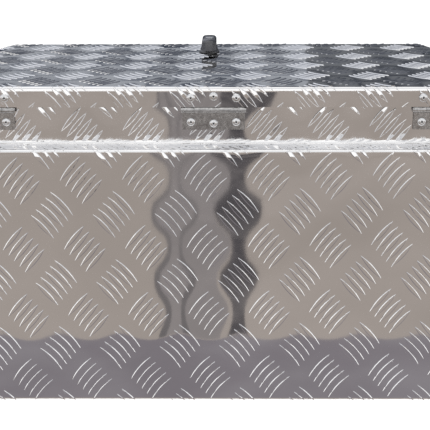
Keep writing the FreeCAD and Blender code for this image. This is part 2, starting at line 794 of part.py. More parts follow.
def strut_rod(word, side):
    """The rod with its piston and the upper eye."""
    name = f"{word}_strut_rod"
    start, way, rest_length, open_length = strut_frame(side)
    ring, hole = eye(side, name, STRUT_LID_Y, STRUT_LID_Z)
    rod_length = f"{rest_length} - piston_start - eye_radius + eye_overlap"
    rod = along_strut(side, f"{name}_rod", "piston_start", rod_length, "rod_radius")
    piston_radius = "tube_radius - tube_wall - piston_clearance"
    piston = along_strut(side, f"{name}_piston", "piston_start", "piston_length", piston_radius)
    node(cut(name, fused(f"{name}_solid", [ring, rod, piston]), hole), name)


def stud(label, way, side, y, z, reach):
    """A stud through an eye, capped at one end and reaching the given way along X to its bracket."""
    start = f"({side} * {STRUT_X} - {way} * (eye_width / 2 + stud_clearance))"
    ahead, behind = ("+X", "-X") if way > 0 else ("-X", "+X")
    length = f"eye_width / 2 + stud_clearance + {reach}"
    shank = cylinder(f"{label}_shank", (start, y, z), length, "stud_radius", ahead)
    cap = cylinder(f"{label}_cap", (start, y, z), "stud_cap", "stud_cap_radius", behind)
    node(fused(label, [shank, cap]), label)


def base_bracket(word, side):
    """A plate bent off the slanted side wall, so that its tail stands square to the stud."""
    body = new_body(f"{word}_base_bracket")
    plan = sketch_on(body, "XY_Plane", f"{word}_bracket_plan", f"{STRUT_BASE_Z} - bracket_height / 2")
    foot_y = f"({BRACKET_BEND} + bracket_foot)"
    tail_y = f"({STRUT_BASE_Y} - bracket_tail)"
    face = BRACKET_FACE
    outline(plan, [
        (f"{side} * {face}", tail_y),
        (f"{side} * {face}", BRACKET_BEND),
        (f"{side} * {half_at(foot_y, WALL_INSIDE)}", foot_y),
        (f"{side} * {half_at(foot_y, f'{WALL_INSIDE} + bracket_sheet')}", foot_y),
        (f"{side} * ({face} - bracket_sheet)", BRACKET_BEND),
        (f"{side} * ({face} - bracket_sheet)", tail_y),
    ])
    pad(body, plan, "bracket_height")


def lid_bracket(word, side):
    """An angle under the lid, on the inner side of the strut, that its upper stud stands against."""
    name = f"{word}_lid_bracket"
    plate_x = f"({STRUT_X} - stud_reach)"
    low_y = f"{STRUT_LID_Y} - lid_bracket_width / 2"
    low_z = f"{STRUT_LID_Z} - lid_bracket_drop"
    foot_z = f"{LID_UNDER} - bracket_sheet"
    plate_low_x = f"{plate_x} - bracket_sheet" if side > 0 else f"-{plate_x}"
    foot_low_x = f"{plate_x} - lid_bracket_foot" if side > 0 else f"-{plate_x}"
    plate_spans = ("bracket_sheet", "lid_bracket_width", f"{LID_UNDER} - ({low_z})")
    plate = block(f"{name}_plate", (plate_low_x, low_y, low_z), plate_spans)
    foot_spans = ("lid_bracket_foot", "lid_bracket_width", "bracket_sheet")
    foot = block(f"{name}_foot", (foot_low_x, low_y, foot_z), foot_spans)
    node(fused(name, [plate, foot]), name)


# ---------------------------------------------------------------- the whole box

SIDES = (("left", -1), ("right", 1))
HINGES = (("left", -1), ("centre", 0), ("right", 1))

rear_wall()
front_wall()
floor_panel()
rim_seal()
lid_panel()
lid_stiffener("rear")
lid_stiffener("front")
for word, side in SIDES:
    side_wall(word, side)
for word, hinge in HINGES:
    hinge_leaf(word, hinge, upper=False)
    hinge_leaf(word, hinge, upper=True)
    hinge_pin(word, hinge)
doc.recompute()
hinge_grip = "sheet_over + leaf_thickness"
rivet_group("body_hinge_rivets", hinge_spots(-1), f"({NECK} - leaf_thickness)", hinge_grip)
rivet_group("lid_hinge_rivets", hinge_spots(1), LID_BACK, hinge_grip)
rivet_group("strike_rivets", strike_spots(), WALL_FRONT, "(sheet_over + strike_sheet)", "+Y")
latch_housing()
latch_gasket()
hex_nut("latch_nut", f"{LID_UNDER} - nut_height", "nut_radius", "nut_height", "barrel_radius + rivet_clearance")
turn_handle()
lock_cylinder()
latch_spindle()
latch_cam()
hex_nut("cam_nut", f"{CAM_TOP} - cam_thickness - cam_nut_height", "cam_nut_radius", "cam_nut_height",
        "spindle_radius")
strike()
for word, side in SIDES:
    strut_tube(word, side)
    strut_gland(word, side)
    strut_rod(word, side)
    base_bracket(word, side)
    lid_bracket(word, side)
    stud(f"{word}_base_stud", side, side, STRUT_BASE_Y, STRUT_BASE_Z, "stud_reach")
    stud(f"{word}_lid_stud", -side, side, STRUT_LID_Y, STRUT_LID_Z, "stud_reach - open_pivot_gap")
doc.recompute()

for item in doc.Objects:
    if "Invalid" in item.State or "Error" in item.State:
        raise RuntimeError(f"{item.Label} failed: {item.State}")
for piece in nodes:
    if piece.Shape.isNull() or not piece.Shape.isValid() or not piece.Shape.Solids:
        raise RuntimeError(f"{piece.Label} has no valid solid")

os.makedirs("parts", exist_ok=True)
for piece in nodes:
    piece.Shape.exportStep(f"parts/{piece.Label}.step")
    box = piece.Shape.BoundBox
    print(f"{piece.Label:24s} {len(piece.Shape.Solids):2d} solids {piece.Shape.Volume:12.0f} mm3"
          f"  x {box.XMin:8.2f} {box.XMax:8.2f}  y {box.YMin:8.2f} {box.YMax:8.2f}"
          f"  z {box.ZMin:8.2f} {box.ZMax:8.2f}")
print(len(nodes), "nodes")
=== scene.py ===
"""Aluminium tread-plate drawbar tool box: finished surfaces and studio round its fixed frame."""
import json
import math

import bmesh
import bpy
from mathutils import Matrix, Vector, noise

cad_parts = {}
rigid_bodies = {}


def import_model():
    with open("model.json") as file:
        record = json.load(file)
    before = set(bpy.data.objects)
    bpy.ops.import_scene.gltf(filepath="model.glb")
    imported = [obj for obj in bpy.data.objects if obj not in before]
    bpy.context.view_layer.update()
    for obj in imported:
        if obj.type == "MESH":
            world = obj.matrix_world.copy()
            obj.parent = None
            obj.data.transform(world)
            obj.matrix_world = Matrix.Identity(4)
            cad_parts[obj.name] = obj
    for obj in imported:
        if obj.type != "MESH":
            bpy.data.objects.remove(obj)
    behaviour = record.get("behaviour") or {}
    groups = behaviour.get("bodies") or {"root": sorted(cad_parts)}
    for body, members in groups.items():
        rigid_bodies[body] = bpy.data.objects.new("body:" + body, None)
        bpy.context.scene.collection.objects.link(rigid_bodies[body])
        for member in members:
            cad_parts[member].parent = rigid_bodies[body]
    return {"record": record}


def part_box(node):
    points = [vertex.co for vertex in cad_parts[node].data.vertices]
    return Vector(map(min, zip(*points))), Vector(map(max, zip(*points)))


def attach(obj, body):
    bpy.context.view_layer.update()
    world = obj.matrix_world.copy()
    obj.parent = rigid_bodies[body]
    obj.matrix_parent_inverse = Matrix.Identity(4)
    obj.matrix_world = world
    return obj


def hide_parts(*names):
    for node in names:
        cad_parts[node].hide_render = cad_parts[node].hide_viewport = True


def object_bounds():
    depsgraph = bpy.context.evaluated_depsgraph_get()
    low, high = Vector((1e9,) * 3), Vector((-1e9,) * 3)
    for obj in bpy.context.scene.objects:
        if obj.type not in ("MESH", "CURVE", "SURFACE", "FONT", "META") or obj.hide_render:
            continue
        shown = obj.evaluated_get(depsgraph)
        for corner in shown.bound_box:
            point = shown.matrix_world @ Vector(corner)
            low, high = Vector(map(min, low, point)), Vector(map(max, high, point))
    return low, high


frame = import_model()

bl_info = {
    "name": "Drawbar tool box",
    "version": (1, 0, 0),
    "blender": (4, 5, 0),
    "location": "3D View > Sidebar > Tool box",
    "description": "Builds the tread plates, rivets, handle and studio of a drawbar tool box",
    "category": "Object",
}

CAD_BOX = [list(corner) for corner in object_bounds()]
MM = 0.001


def corners_of(node):
    """The lowest and the highest corner of a CAD node."""
    return [Vector(corner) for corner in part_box(node)]


# places read from the frame
LID_LOW, LID_HIGH = corners_of("lid_panel")
REAR_LOW, REAR_HIGH = corners_of("rear_wall")
FRONT_LOW, FRONT_HIGH = corners_of("front_wall")
HANDLE_LOW, HANDLE_HIGH = corners_of("turn_handle")
COLLAR_LOW, COLLAR_HIGH = corners_of("latch_housing")
JOINTS = {joint["name"]: joint for joint in frame["record"]["behaviour"]["joints"]}
PIN = Vector(JOINTS["lid_hinge"]["pos_m"])
LATCH = Vector(JOINTS["latch_turn"]["pos_m"])

BACK = REAR_LOW.y
NECK = corners_of("centre_lower_leaf")[1].y
LAND = REAR_HIGH.z
LID_TOP = LID_HIGH.z
LID_FOOT = LID_LOW.z

# points nearer than this count as one
HAIR = 1e-7
# a bar fades out over this distance from a fold, and sinks this far into the sheet inside it
BAR_RUN_OUT = 3.0 * MM
BAR_SINK = 0.15 * MM
# outlines of a bar: inset as a share of its shoulder, height as a share of its own
BAR_RINGS = ((0.0, -0.3), (0.0, 0.0), (0.45, 0.68), (1.0, 1.0))
BAR_POINTS = 9
TIP_SLOPE = 1.9
FOLD_STEPS = 5

# the middle of one group of bars in each flat sheet
REAR_PATTERN = (-7.0 * MM, 225.5 * MM)
REAR_PATTERN_TURN = 0.0159
FRONT_PATTERN = (4.0 * MM, 40.0 * MM)
SIDE_PATTERN = (11.0 * MM, 52.0 * MM)
LID_PATTERN = (-109.0 * MM, -107.0 * MM)

# how far a rivet's head and tail stand out in the CAD
RIVET_HEAD = 1.6 * MM
RIVET_TAIL = 2.5 * MM


def size(name, text, value):
    """A length that a user may change."""
    return bpy.props.FloatProperty(name=name, description=text, default=value, unit="LENGTH", precision=5)


def tone(name, text, value):
    """A colour that a user may change."""
    return bpy.props.FloatVectorProperty(name=name, description=text, default=value, subtype="COLOR")


class ToolboxPlate(bpy.types.PropertyGroup):
    """The tread plate: its bars, its folds and its waviness."""
    bar_length: size("Bar length", "Tip to tip", 31.0 * MM)
    bar_width: size("Bar width", "Across the middle of a bar", 4.6 * MM)
    bar_height: size("Bar height", "How far a bar stands above the sheet", 0.6 * MM)
    bar_shoulder: size("Bar shoulder", "Width of a bar's sloping edge", 0.8 * MM)
    bar_spacing: size("Bar spacing", "From one bar of a group to the next", 7.4 * MM)
    pitch_along: size("Pitch along", "From one group to the next of its kind, along a row", 58.0 * MM)
    pitch_across: size("Pitch across", "From one row to the next of its kind", 67.2 * MM)
    sheet: size("Sheet", "Thickness between the bars", 1.7 * MM)
    fold_radius: size("Fold radius", "Outer radius of a fold, over the bars", 3.0 * MM)
    inner_radius: size("Inner radius", "Inner radius of a fold, over the bars", 0.7 * MM)
    pillow: size("Pillow", "How far the sheet is dished at each group", 0.19 * MM)
    wave: size("Wave", "How far the sheet wanders over its length", 0.3 * MM)


class ToolboxShape(bpy.types.PropertyGroup):
    """The box's own sizes that the frame's corners don't give."""
    lid_front_half: size("Lid front half", "Half the lid's width on the latch side", 242.0 * MM)
    wall_gap: size("Wall gap", "Between the lid's flange and the walls", 3.0 * MM)
    ledge_height: size("Ledge height", "From the floor to the ledge's top", 253.0 * MM)
    ledge_depth: size("Ledge depth", "From the lower face to the neck", 28.0 * MM)
    gutter_width: size("Gutter width", "Of the rain gutter behind the neck", 8.0 * MM)
    gutter_rise: size("Gutter rise", "Of the gutter's shelf above the lid's foot", 2.5 * MM)
    land_width: size("Land width", "Of the rim that carries the seal", 14.0 * MM)


class ToolboxColours(bpy.types.PropertyGroup):
    """Base colours of the finishes."""
    aluminium: tone("Aluminium", "Bright rolled plate", (0.91, 0.905, 0.905))
    stainless: tone("Stainless", "Satin hinge steel", (0.47, 0.46, 0.455))
    coating: tone("Coating", "Black powder coat", (0.028, 0.028, 0.032))


# ---------------------------------------------------------------- materials

def material(name, colour, metallic, roughness):
    """A new node material with a plain principled shader."""
    made = bpy.data.materials.new(name)
    made.use_nodes = True
    shader = made.node_tree.nodes["Principled BSDF"]
    shader.inputs["Base Color"].default_value = (*colour, 1.0)
    shader.inputs["Metallic"].default_value = metallic
    shader.inputs["Roughness"].default_value = roughness
    return made, made.node_tree, shader


def feed(shader, socket, value):
    """Let a value drive one socket of the shader."""
    shader.id_data.links.new(value, shader.inputs[socket])


def grain(tree, scale, stretch=(1, 1, 1), detail=4.0):
    """Noise on the piece's own coordinates."""
    nodes = tree.nodes
    place = nodes.new("ShaderNodeTexCoord")
    mapping = nodes.new("ShaderNodeMapping")
    mapping.inputs["Scale"].default_value = stretch
    texture = nodes.new("ShaderNodeTexNoise")
    texture.inputs["Scale"].default_value = scale
    texture.inputs["Detail"].default_value = detail
    tree.links.new(place.outputs["Object"], mapping.inputs["Vector"])
    tree.links.new(mapping.outputs["Vector"], texture.inputs["Vector"])
    return texture.outputs["Fac"]


def spread(tree, value, low, high, start=0.3, end=0.7):
    """The value moved to a range of its own."""
    span = tree.nodes.new("ShaderNodeMapRange")
    span.inputs["From Min"].default_value = start
    span.inputs["From Max"].default_value = end
    span.inputs["To Min"].default_value = low
    span.inputs["To Max"].default_value = high
    tree.links.new(value, span.inputs["Value"])
    return span.outputs["Result"]


def tint(tree, value, first, second, start=0.35, end=0.65):
    """A colour that runs from the first to the second with the value."""
    ramp = tree.nodes.new("ShaderNodeValToRGB")
    ramp.color_ramp.elements[0].position = start
    ramp.color_ramp.elements[0].color = (*first, 1.0)
    ramp.color_ramp.elements[1].position = end
    ramp.color_ramp.elements[1].color = (*second, 1.0)
    tree.links.new(value, ramp.inputs["Fac"])
    return ramp.outputs["Color"]


def bump(tree, value, strength, distance, below=None):
    """A surface bump from the value, on top of another bump if one is given."""
    lift = tree.nodes.new("ShaderNodeBump")
    lift.inputs["Strength"].default_value = strength
    lift.inputs["Distance"].default_value = distance
    tree.links.new(value, lift.inputs["Height"])
    if below is not None:
        tree.links.new(below, lift.inputs["Normal"])
    return lift.outputs["Normal"]


def height_in(tree):
    """The height of each point above the floor."""
    place = tree.nodes.new("ShaderNodeTexCoord")
    parts = tree.nodes.new("ShaderNodeSeparateXYZ")
    tree.links.new(place.outputs["Object"], parts.inputs["Vector"])
    return parts.outputs["Z"]


def combine(tree, operation, first, second):
    """Two values added or multiplied."""
    node = tree.nodes.new("ShaderNodeMath")
    node.operation = operation
    tree.links.new(first, node.inputs[0])
    tree.links.new(second, node.inputs[1])
    return node.outputs["Value"]


def shade(colour, factor):
    """The colour made lighter or darker."""
    return tuple(min(1.0, part * factor) for part in colour)


def rolled_aluminium(colour):
    """Bright rolled plate: near mirror, with faint handling smears and fine rolling lines."""
    made, tree, shader = material("rolled_aluminium", colour, 1.0, 0.1)
    smears = grain(tree, 9.0, detail=6.0)
    feed(shader, "Base Color", tint(tree, smears, shade(colour, 0.93), colour))
    feed(shader, "Roughness", spread(tree, smears, 0.035, 0.08))
    lines = grain(tree, 260.0, (1.0, 1.0, 0.08), 2.0)
    specks = grain(tree, 900.0, detail=2.0)
    below = bump(tree, lines, 0.05, 0.00003)
    feed(shader, "Normal", bump(tree, specks, 0.04, 0.00003, below))
    return made


def mill_aluminium(colour):
    """The plate's plain inner face, as it leaves the mill: brushed and dull."""
    made, tree, shader = material("mill_aluminium", shade(colour, 0.8), 1.0, 0.38)
    lines = grain(tree, 240.0, (1.0, 0.06, 1.0), 3.0)
    feed(shader, "Base Color", tint(tree, lines, shade(colour, 0.7), shade(colour, 0.82)))
    feed(shader, "Roughness", spread(tree, grain(tree, 12.0), 0.34, 0.46))
    feed(shader, "Normal", bump(tree, lines, 0.08, 0.00005))
    return made


def satin_stainless(colour):
    """Tumbled stainless hinge strip, with its knuckle worn brighter."""
    made, tree, shader = material("satin_stainless", colour, 1.0, 0.2)
    mottle = grain(tree, 420.0, detail=5.0)
    feed(shader, "Base Color", tint(tree, mottle, shade(colour, 0.72), shade(colour, 1.12)))
    satin = spread(tree, grain(tree, 160.0), 0.2, 0.3)
    wear = spread(tree, height_in(tree), 1.0, 0.32, PIN.z - 3.0 * MM, PIN.z - 2.4 * MM)
    feed(shader, "Roughness", combine(tree, "MULTIPLY", satin, wear))
    feed(shader, "Normal", bump(tree, mottle, 0.1, 0.0001))
    return made


def rivet_aluminium():
    """Bright rivet heads with faint drawing marks."""
    made, tree, shader = material("rivet_aluminium", (0.76, 0.76, 0.765), 1.0, 0.18)
    marks = grain(tree, 700.0, detail=3.0)
    feed(shader, "Roughness", spread(tree, marks, 0.16, 0.28))
    feed(shader, "Normal", bump(tree, marks, 0.08, 0.00005))
    return made


def black_coating(colour):
    """Semi-gloss black powder coat with its fine orange peel."""
    made, tree, shader = material("black_coating", colour, 0.0, 0.3)
    shader.inputs["Specular IOR Level"].default_value = 1.0
    peel = grain(tree, 1100.0, detail=1.0)
    feed(shader, "Roughness", spread(tree, grain(tree, 60.0), 0.18, 0.3))
    feed(shader, "Normal", bump(tree, peel, 0.12, 0.00008))
    feed(shader, "Base Color", tint(tree, grain(tree, 90.0), shade(colour, 0.8), shade(colour, 1.5)))
    return made


def zinc_plate():
    """Bright zinc on the brackets, the cam and the stiffeners."""
    made, tree, shader = material("zinc_plate", (0.62, 0.63, 0.64), 1.0, 0.32)
    spangle = grain(tree, 130.0, detail=4.0)
    feed(shader, "Base Color", tint(tree, spangle, (0.5, 0.51, 0.53), (0.7, 0.71, 0.71)))
    feed(shader, "Roughness", spread(tree, spangle, 0.24, 0.42))
    return made


def chrome():
    """Hard chrome on the rods and the key plug."""
    made, tree, shader = material("hard_chrome", (0.78, 0.79, 0.8), 1.0, 0.06)
    feed(shader, "Roughness", spread(tree, grain(tree, 300.0), 0.03, 0.1))
    return made


def foam_rubber():
    """Closed-cell foam rubber with a fine skin."""
    made, tree, shader = material("foam_rubber", (0.018, 0.018, 0.019), 0.0, 0.75)
    cells = grain(tree, 1500.0, detail=2.0)
    feed(shader, "Base Color", tint(tree, grain(tree, 40.0), (0.014, 0.014, 0.015), (0.028, 0.028, 0.029)))
    feed(shader, "Normal", bump(tree, cells, 0.4, 0.0002))
    return made


def strut_paint():
    """Gloss black stove enamel on the strut tubes."""
    made, tree, shader = material("strut_enamel", (0.01, 0.01, 0.011), 0.0, 0.16)
    feed(shader, "Roughness", spread(tree, grain(tree, 80.0), 0.12, 0.24))
    return made


def moulded_plastic():
    """Black moulded guide rings."""
    made, tree, shader = material("moulded_plastic", (0.02, 0.02, 0.02), 0.0, 0.5)
    feed(shader, "Normal", bump(tree, grain(tree, 900.0), 0.1, 0.0001))
    return made


def mandrel_steel_painted_shade():
    """Broken ends of the rivets' steel mandrels, coloured near black as painted shade of the mandrel hole."""
    # the near-black base colour is painted shade: real mandrel steel, darkened so the hole in each rivet head
    # looks shaded
    made, tree, shader = material("mandrel_steel_painted_shade", (0.05, 0.048, 0.047), 0.6, 0.6)
    feed(shader, "Normal", bump(tree, grain(tree, 2200.0), 0.4, 0.0001))
    return made


def weld_metal(colour):
    """Fine rippled weld, a little duller than the plate."""
    made, tree, shader = material("weld_metal", shade(colour, 0.85), 1.0, 0.3)
    feed(shader, "Roughness", spread(tree, grain(tree, 500.0), 0.22, 0.4))
    return made


FINISHES = {}


def finish(word):
    """The shared material of a finish, made once."""
    colours = bpy.context.scene.toolbox_colours
    makers = {
        "tread_plate": lambda: rolled_aluminium(tuple(colours.aluminium)),
        "inner_face": lambda: mill_aluminium(tuple(colours.aluminium)),
        "hinge_steel": lambda: satin_stainless(tuple(colours.stainless)),
        "rivet": rivet_aluminium,
        "black_handle": lambda: black_coating(tuple(colours.coating)),
        "zinc_steel": zinc_plate,
        "lock_brass": chrome,
        "seal_rubber": foam_rubber,
        "strut_black": strut_paint,
        "rod_chrome": chrome,
        "guide_plastic": moulded_plastic,
        "weld": lambda: weld_metal(tuple(colours.aluminium)),
        "mandrel": mandrel_steel_painted_shade,
    }
    if word not in FINISHES:
        FINISHES[word] = makers[word]()
    return FINISHES[word]


# ---------------------------------------------------------------- meshes into pieces

def mesh_from(bm, name):
    """Turn what was shaped into a mesh."""
    mesh = bpy.data.meshes.new(name)
    bm.to_mesh(mesh)
    bm.free()
    return mesh


def put(name, data):
    """A new object in the scene."""
    made = bpy.data.objects.new(name, data)
    bpy.context.scene.collection.objects.link(made)
    return made


def piece_from(bm, name, body, slot, surface=None, smooth_angle=35.0, keep_normals=False):
    """Make the mesh a finished piece that rides on a body."""
    if not keep_normals:
        bmesh.ops.recalc_face_normals(bm, faces=bm.faces)
    mesh = mesh_from(bm, name)
    made = put(name, mesh)
    mesh.materials.append(finish(surface or slot))
    mesh.shade_smooth()
    mesh.set_sharp_from_angle(angle=math.radians(smooth_angle))
    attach(made, body)
    return made


# ---------------------------------------------------------------- folded tread plate

class FoldPath:
    """The section of a folded sheet: straight runs joined by arcs, measured along its surface."""

    def __init__(self, corners, radii):
        self.runs = []
        self.length = 0.0
        at = Vector(corners[0])
        way = (Vector(corners[1]) - at).normalized()
        for index in range(1, len(corners)):
            corner = Vector(corners[index])
            if index == len(corners) - 1:
                self.add(at, way, (corner - at).length, 0.0)
                break
            onward = (Vector(corners[index + 1]) - corner).normalized()
            turn = math.atan2(way.x * onward.y - way.y * onward.x, way.dot(onward))
            radius = radii[index - 1]
            reach = radius * math.tan(abs(turn) / 2)
            self.add(at, way, (corner - at).length - reach, 0.0)
            self.add(corner - way * reach, way, radius * abs(turn), turn / (radius * abs(turn)))
            at = corner + onward * reach
            way = onward

    def add(self, start, way, length, curve):
        """Add a straight run, or an arc where the curve isn't nought."""
        self.runs.append((self.length, start, way, length, curve))
        self.length += length

    def at(self, distance):
        """The point and the outward direction at a distance along the surface."""
        run = next((run for run in reversed(self.runs) if distance >= run[0]), self.runs[0])
        begin, start, way, length, curve = run
        part = distance - begin
        if curve:
            turned = curve * part
            side = Vector((-way.y, way.x))
            point = start + way * (math.sin(turned) / curve) + side * ((1 - math.cos(turned)) / curve)
            way = way * math.cos(turned) + side * math.sin(turned)
        else:
            point = start + way * part
        return point, Vector((-way.y, way.x))

    def flattening(self, distance):
        """How much of a bar's height is left near a fold: none in a hollow one, half in an outward one."""
        left = 1.0
        for begin, _, _, length, curve in self.runs:
            if curve:
                away = max(abs(distance - begin - length / 2) - length / 2, 0.0)
                least = 0.0 if curve > 0 else 0.5
                left = min(left, least + (1.0 - least) * min(away / BAR_RUN_OUT, 1.0))
        return left

    def marks(self):
        """Distances where the mesh needs an edge to follow the folds."""
        found = []
        for begin, _, _, length, curve in self.runs:
            if curve:
                found += [begin + length * step / FOLD_STEPS for step in range(FOLD_STEPS + 1)]
        return found


class Strip:
    """A stretch of folded sheet: a straight edge in plan, and a section square to it."""

    def __init__(self, origin, along, path, corners, outwards=None):
        self.origin = Vector(origin)
        self.along = Vector(along)
        self.outwards = Vector(outwards) if outwards else Vector((0, 1, 0))
        self.path = path
        self.corners = corners

    def place(self, point):
        """From (along, down the section, above the surface) to the box."""
        spot, facing = self.path.at(point.y)
        across = spot.x + facing.x * point.z
        height = spot.y + facing.y * point.z
        made = self.origin + self.along * point.x + self.outwards * across
        made.z += height
        return made


class Pattern:
    """Where the tread bars lie in a sheet's flat plane: the middle of one group, and a turn."""

    def __init__(self, centre, turn=0.0):
        self.centre = Vector(centre)
        self.turn = turn

    def flat(self, local, strip_frame):
        """A strip's own (along, down) point in the flat sheet's plane."""
        start, along, down = strip_frame
        return start + along * local.x + down * local.y

    def lift(self, spot, plate):
        """How far the sheet stands out at a place in the flat plane."""
        away = Matrix.Rotation(-self.turn, 2) @ (spot - self.centre)
        along = math.cos(math.tau * away.x / plate.pitch_along)
        across = math.cos(math.tau * away.y / plate.pitch_across)
        place = Vector((spot.x * 7.0, spot.y * 7.0, 0.3))
        fine = Vector((spot.x * 26.0, spot.y * 26.0, 4.1))
        return plate.wave * (noise.noise(place) + 0.1 * noise.noise(fine)) - plate.pillow * (along * across)


def bar_template(plate):
    """Outlines of one tread bar from its hidden skirt up to its crown, pointed at both ends."""
    rings = []
    for inset, height in BAR_RINGS:
        half = plate.bar_length / 2 - TIP_SLOPE * inset * plate.bar_shoulder
        wide = plate.bar_width / 2 - inset * plate.bar_shoulder
        # a hair off the sheet's face, because fold_up tells bars from sheet by their height
        level = height * plate.bar_height + HAIR
        ring = []
        for step in range(2 * BAR_POINTS):
            reach = math.cos(math.pi * step / BAR_POINTS)
            bulge = (1 - reach * reach) * wide
            ring.append(Vector((half * reach, bulge if step < BAR_POINTS else -bulge, level)))
        rings.append(ring)
    return rings


def add_bar(bm, rings, centre, turn):
    """A bar as a closed solid at a place in the flat sheet."""
    spin = Matrix.Rotation(turn, 3, "Z")
    rows = [[bm.verts.new(spin @ point + centre) for point in ring] for ring in rings]
    count = len(rows[0])
    for lower, upper in zip(rows, rows[1:]):
        for i in range(count):
            j = (i + 1) % count
            bm.faces.new((lower[i], lower[j], upper[j], upper[i]))
    bm.faces.new(list(reversed(rows[0])))
    crown = rows[-1]
    half = count // 2
    for i in range(half):
        corners = [crown[i], crown[i + 1], crown[-i - 1], crown[-i] if i else crown[0]]
        bm.faces.new(list(dict.fromkeys(corners)))


def bars_on(strip, pattern, strip_frame, plate):
    """All the bars of a strip, cut at its outline, in the strip's own flat frame."""
    bm = bmesh.new()
    start, along, down = strip_frame
    rings = bar_template(plate)
    lean = math.atan2(plate.pitch_across, plate.pitch_along)
    spots = [pattern.flat(Vector(corner), strip_frame) - pattern.centre for corner in strip.corners]
    unturn = Matrix.Rotation(-pattern.turn, 2)
    spots = [unturn @ spot for spot in spots]
    columns = [spot.x / plate.pitch_along for spot in spots]
    rows = [spot.y / plate.pitch_across for spot in spots]
    xs, ys = zip(*strip.corners)
    reach = plate.bar_length / 2
    for half_row in range(2 * math.floor(min(rows)) - 2, 2 * math.ceil(max(rows)) + 3):
        odd = half_row % 2
        for column in range(math.floor(min(columns)) - 2, math.ceil(max(columns)) + 3):
            middle = Vector(((column + odd / 2) * plate.pitch_along, half_row / 2 * plate.pitch_across))
            bar_turn = -lean if odd else lean
            stack = Vector((math.cos(-bar_turn), math.sin(-bar_turn)))
            for step in range(-2, 3):
                spot = middle + stack * (step * plate.bar_spacing)
                spot = Matrix.Rotation(pattern.turn, 2) @ spot + pattern.centre - start
                local = Vector((spot.dot(along), spot.dot(down), 0))
                near = min(xs) - reach < local.x < max(xs) + reach
                if near and min(ys) - reach < local.y < max(ys) + reach:
                    add_bar(bm, rings, local, bar_turn + pattern.turn - math.atan2(along.y, along.x))
    crease(bm, strip.path)
    trim(bm, strip.corners, close=True)
    return bm


def crease(bm, path):
    """Give a flat mesh an edge wherever the folds need one."""
    for mark in path.marks():
        bmesh.ops.bisect_plane(bm, geom=bm.verts[:] + bm.edges[:] + bm.faces[:], dist=HAIR,
                               plane_co=(0, mark, 0), plane_no=(0, 1, 0))


def cut_off(bm, point, outside, close):
    """Cut off what lies beyond a plane, and close the cut if asked."""
    found = bmesh.ops.bisect_plane(bm, geom=bm.verts[:] + bm.edges[:] + bm.faces[:], dist=HAIR,
                                   plane_co=point, plane_no=outside, clear_outer=True)
    if close:
        cut = [item for item in found["geom_cut"] if isinstance(item, bmesh.types.BMEdge)]
        bmesh.ops.holes_fill(bm, edges=cut, sides=0)


def trim(bm, corners, close=False):
    """Cut a flat mesh to a convex outline given anticlockwise."""
    for corner, following in zip(corners, corners[1:] + corners[:1]):
        first, second = Vector((*corner, 0)), Vector((*following, 0))
        cut_off(bm, first, (second - first).cross(Vector((0, 0, 1))).normalized(), close)


def sheet_on(strip, plate, cell=7.0 * MM):
    """The sheet between the bars, flat, cut at the outline and creased where the folds begin."""
    bm = bmesh.new()
    xs, ys = zip(*strip.corners)
    width, depth = max(xs) - min(xs), max(ys) - min(ys)
    bmesh.ops.create_grid(bm, x_segments=max(1, round(width / cell)), y_segments=max(1, round(depth / cell)),
                          size=0.5)
    bmesh.ops.scale(bm, vec=(width, depth, 1), verts=bm.verts)
    centre = Vector(((max(xs) + min(xs)) / 2, (max(ys) + min(ys)) / 2, 0))
    bmesh.ops.translate(bm, vec=centre, verts=bm.verts)
    crease(bm, strip.path)
    trim(bm, strip.corners)
    bmesh.ops.dissolve_degenerate(bm, dist=1e-6, edges=bm.edges)
    return bm


def fold_up(bm, strip, pattern, strip_frame, plate):
    """Carry a flat mesh onto the folded section, with the sheet's waviness."""
    for vertex in bm.verts:
        spot = pattern.flat(vertex.co.xy, strip_frame)
        rise = pattern.lift(spot, plate) - plate.pillow
        if vertex.co.z:
            left = strip.path.flattening(vertex.co.y)
            rise += vertex.co.z * left - (1.0 - left) * BAR_SINK
        vertex.co = strip.place(Vector((vertex.co.x, vertex.co.y, rise)))


def cut_away(bm, planes, close):
    """Cut a folded mesh by upright planes, each a point and the direction that is cut off."""
    for point, outside in planes:
        cut_off(bm, point, outside, close)


def tread_plate(name, strips, pattern, plate, body, replaced):
    """One plate from its strips: (strip, its frame in the flat sheet, its cutting planes).

    Its inner faces get the duller mill finish."""
    whole = bmesh.new()
    for strip, strip_frame, planes in strips:
        sheet = sheet_on(strip, plate)
        fold_up(sheet, strip, pattern, strip_frame, plate)
        cut_away(sheet, planes, close=False)
        shell = bmesh.ops.solidify(sheet, geom=sheet.faces[:], thickness=plate.sheet)
        for item in shell["geom"]:
            if isinstance(item, bmesh.types.BMFace):
                item.material_index = 1
        bars = bars_on(strip, pattern, strip_frame, plate)
        fold_up(bars, strip, pattern, strip_frame, plate)
        cut_away(bars, planes, close=True)
        for part in (sheet, bars):
            bmesh.ops.recalc_face_normals(part, faces=part.faces)
            mesh = mesh_from(part, "part")
            whole.from_mesh(mesh)
            bpy.data.meshes.remove(mesh)
    made = piece_from(whole, name, body, "tread_plate", smooth_angle=20.0, keep_normals=True)
    made.data.materials.append(finish("inner_face"))
    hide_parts(replaced)


# ---------------------------------------------------------------- outlines of the box

def settings():
    """The plate's sizes and the box's."""
    scene = bpy.context.scene
    return scene.toolbox_plate, scene.toolbox_shape


def plan_half(y, inset):
    """Half width of the tapered plan at a depth, inside the lid's outer face."""
    _, shape = settings()
    taper = (LID_HIGH.x - shape.lid_front_half) / (LID_HIGH.y - LID_LOW.y)
    slant = math.sqrt(1 + taper * taper)
    return LID_HIGH.x - (y - LID_LOW.y) * taper - inset * slant


def side_facing(side):
    """The outward direction of a side wall."""
    _, shape = settings()
    run = Vector((-side * (LID_HIGH.x - shape.lid_front_half), LID_HIGH.y - LID_LOW.y, 0)).normalized()
    return Vector((run.y, -run.x, 0)) * side


def over(plate):
    """Thickness of the plate over its bars."""
    return plate.sheet + plate.bar_height


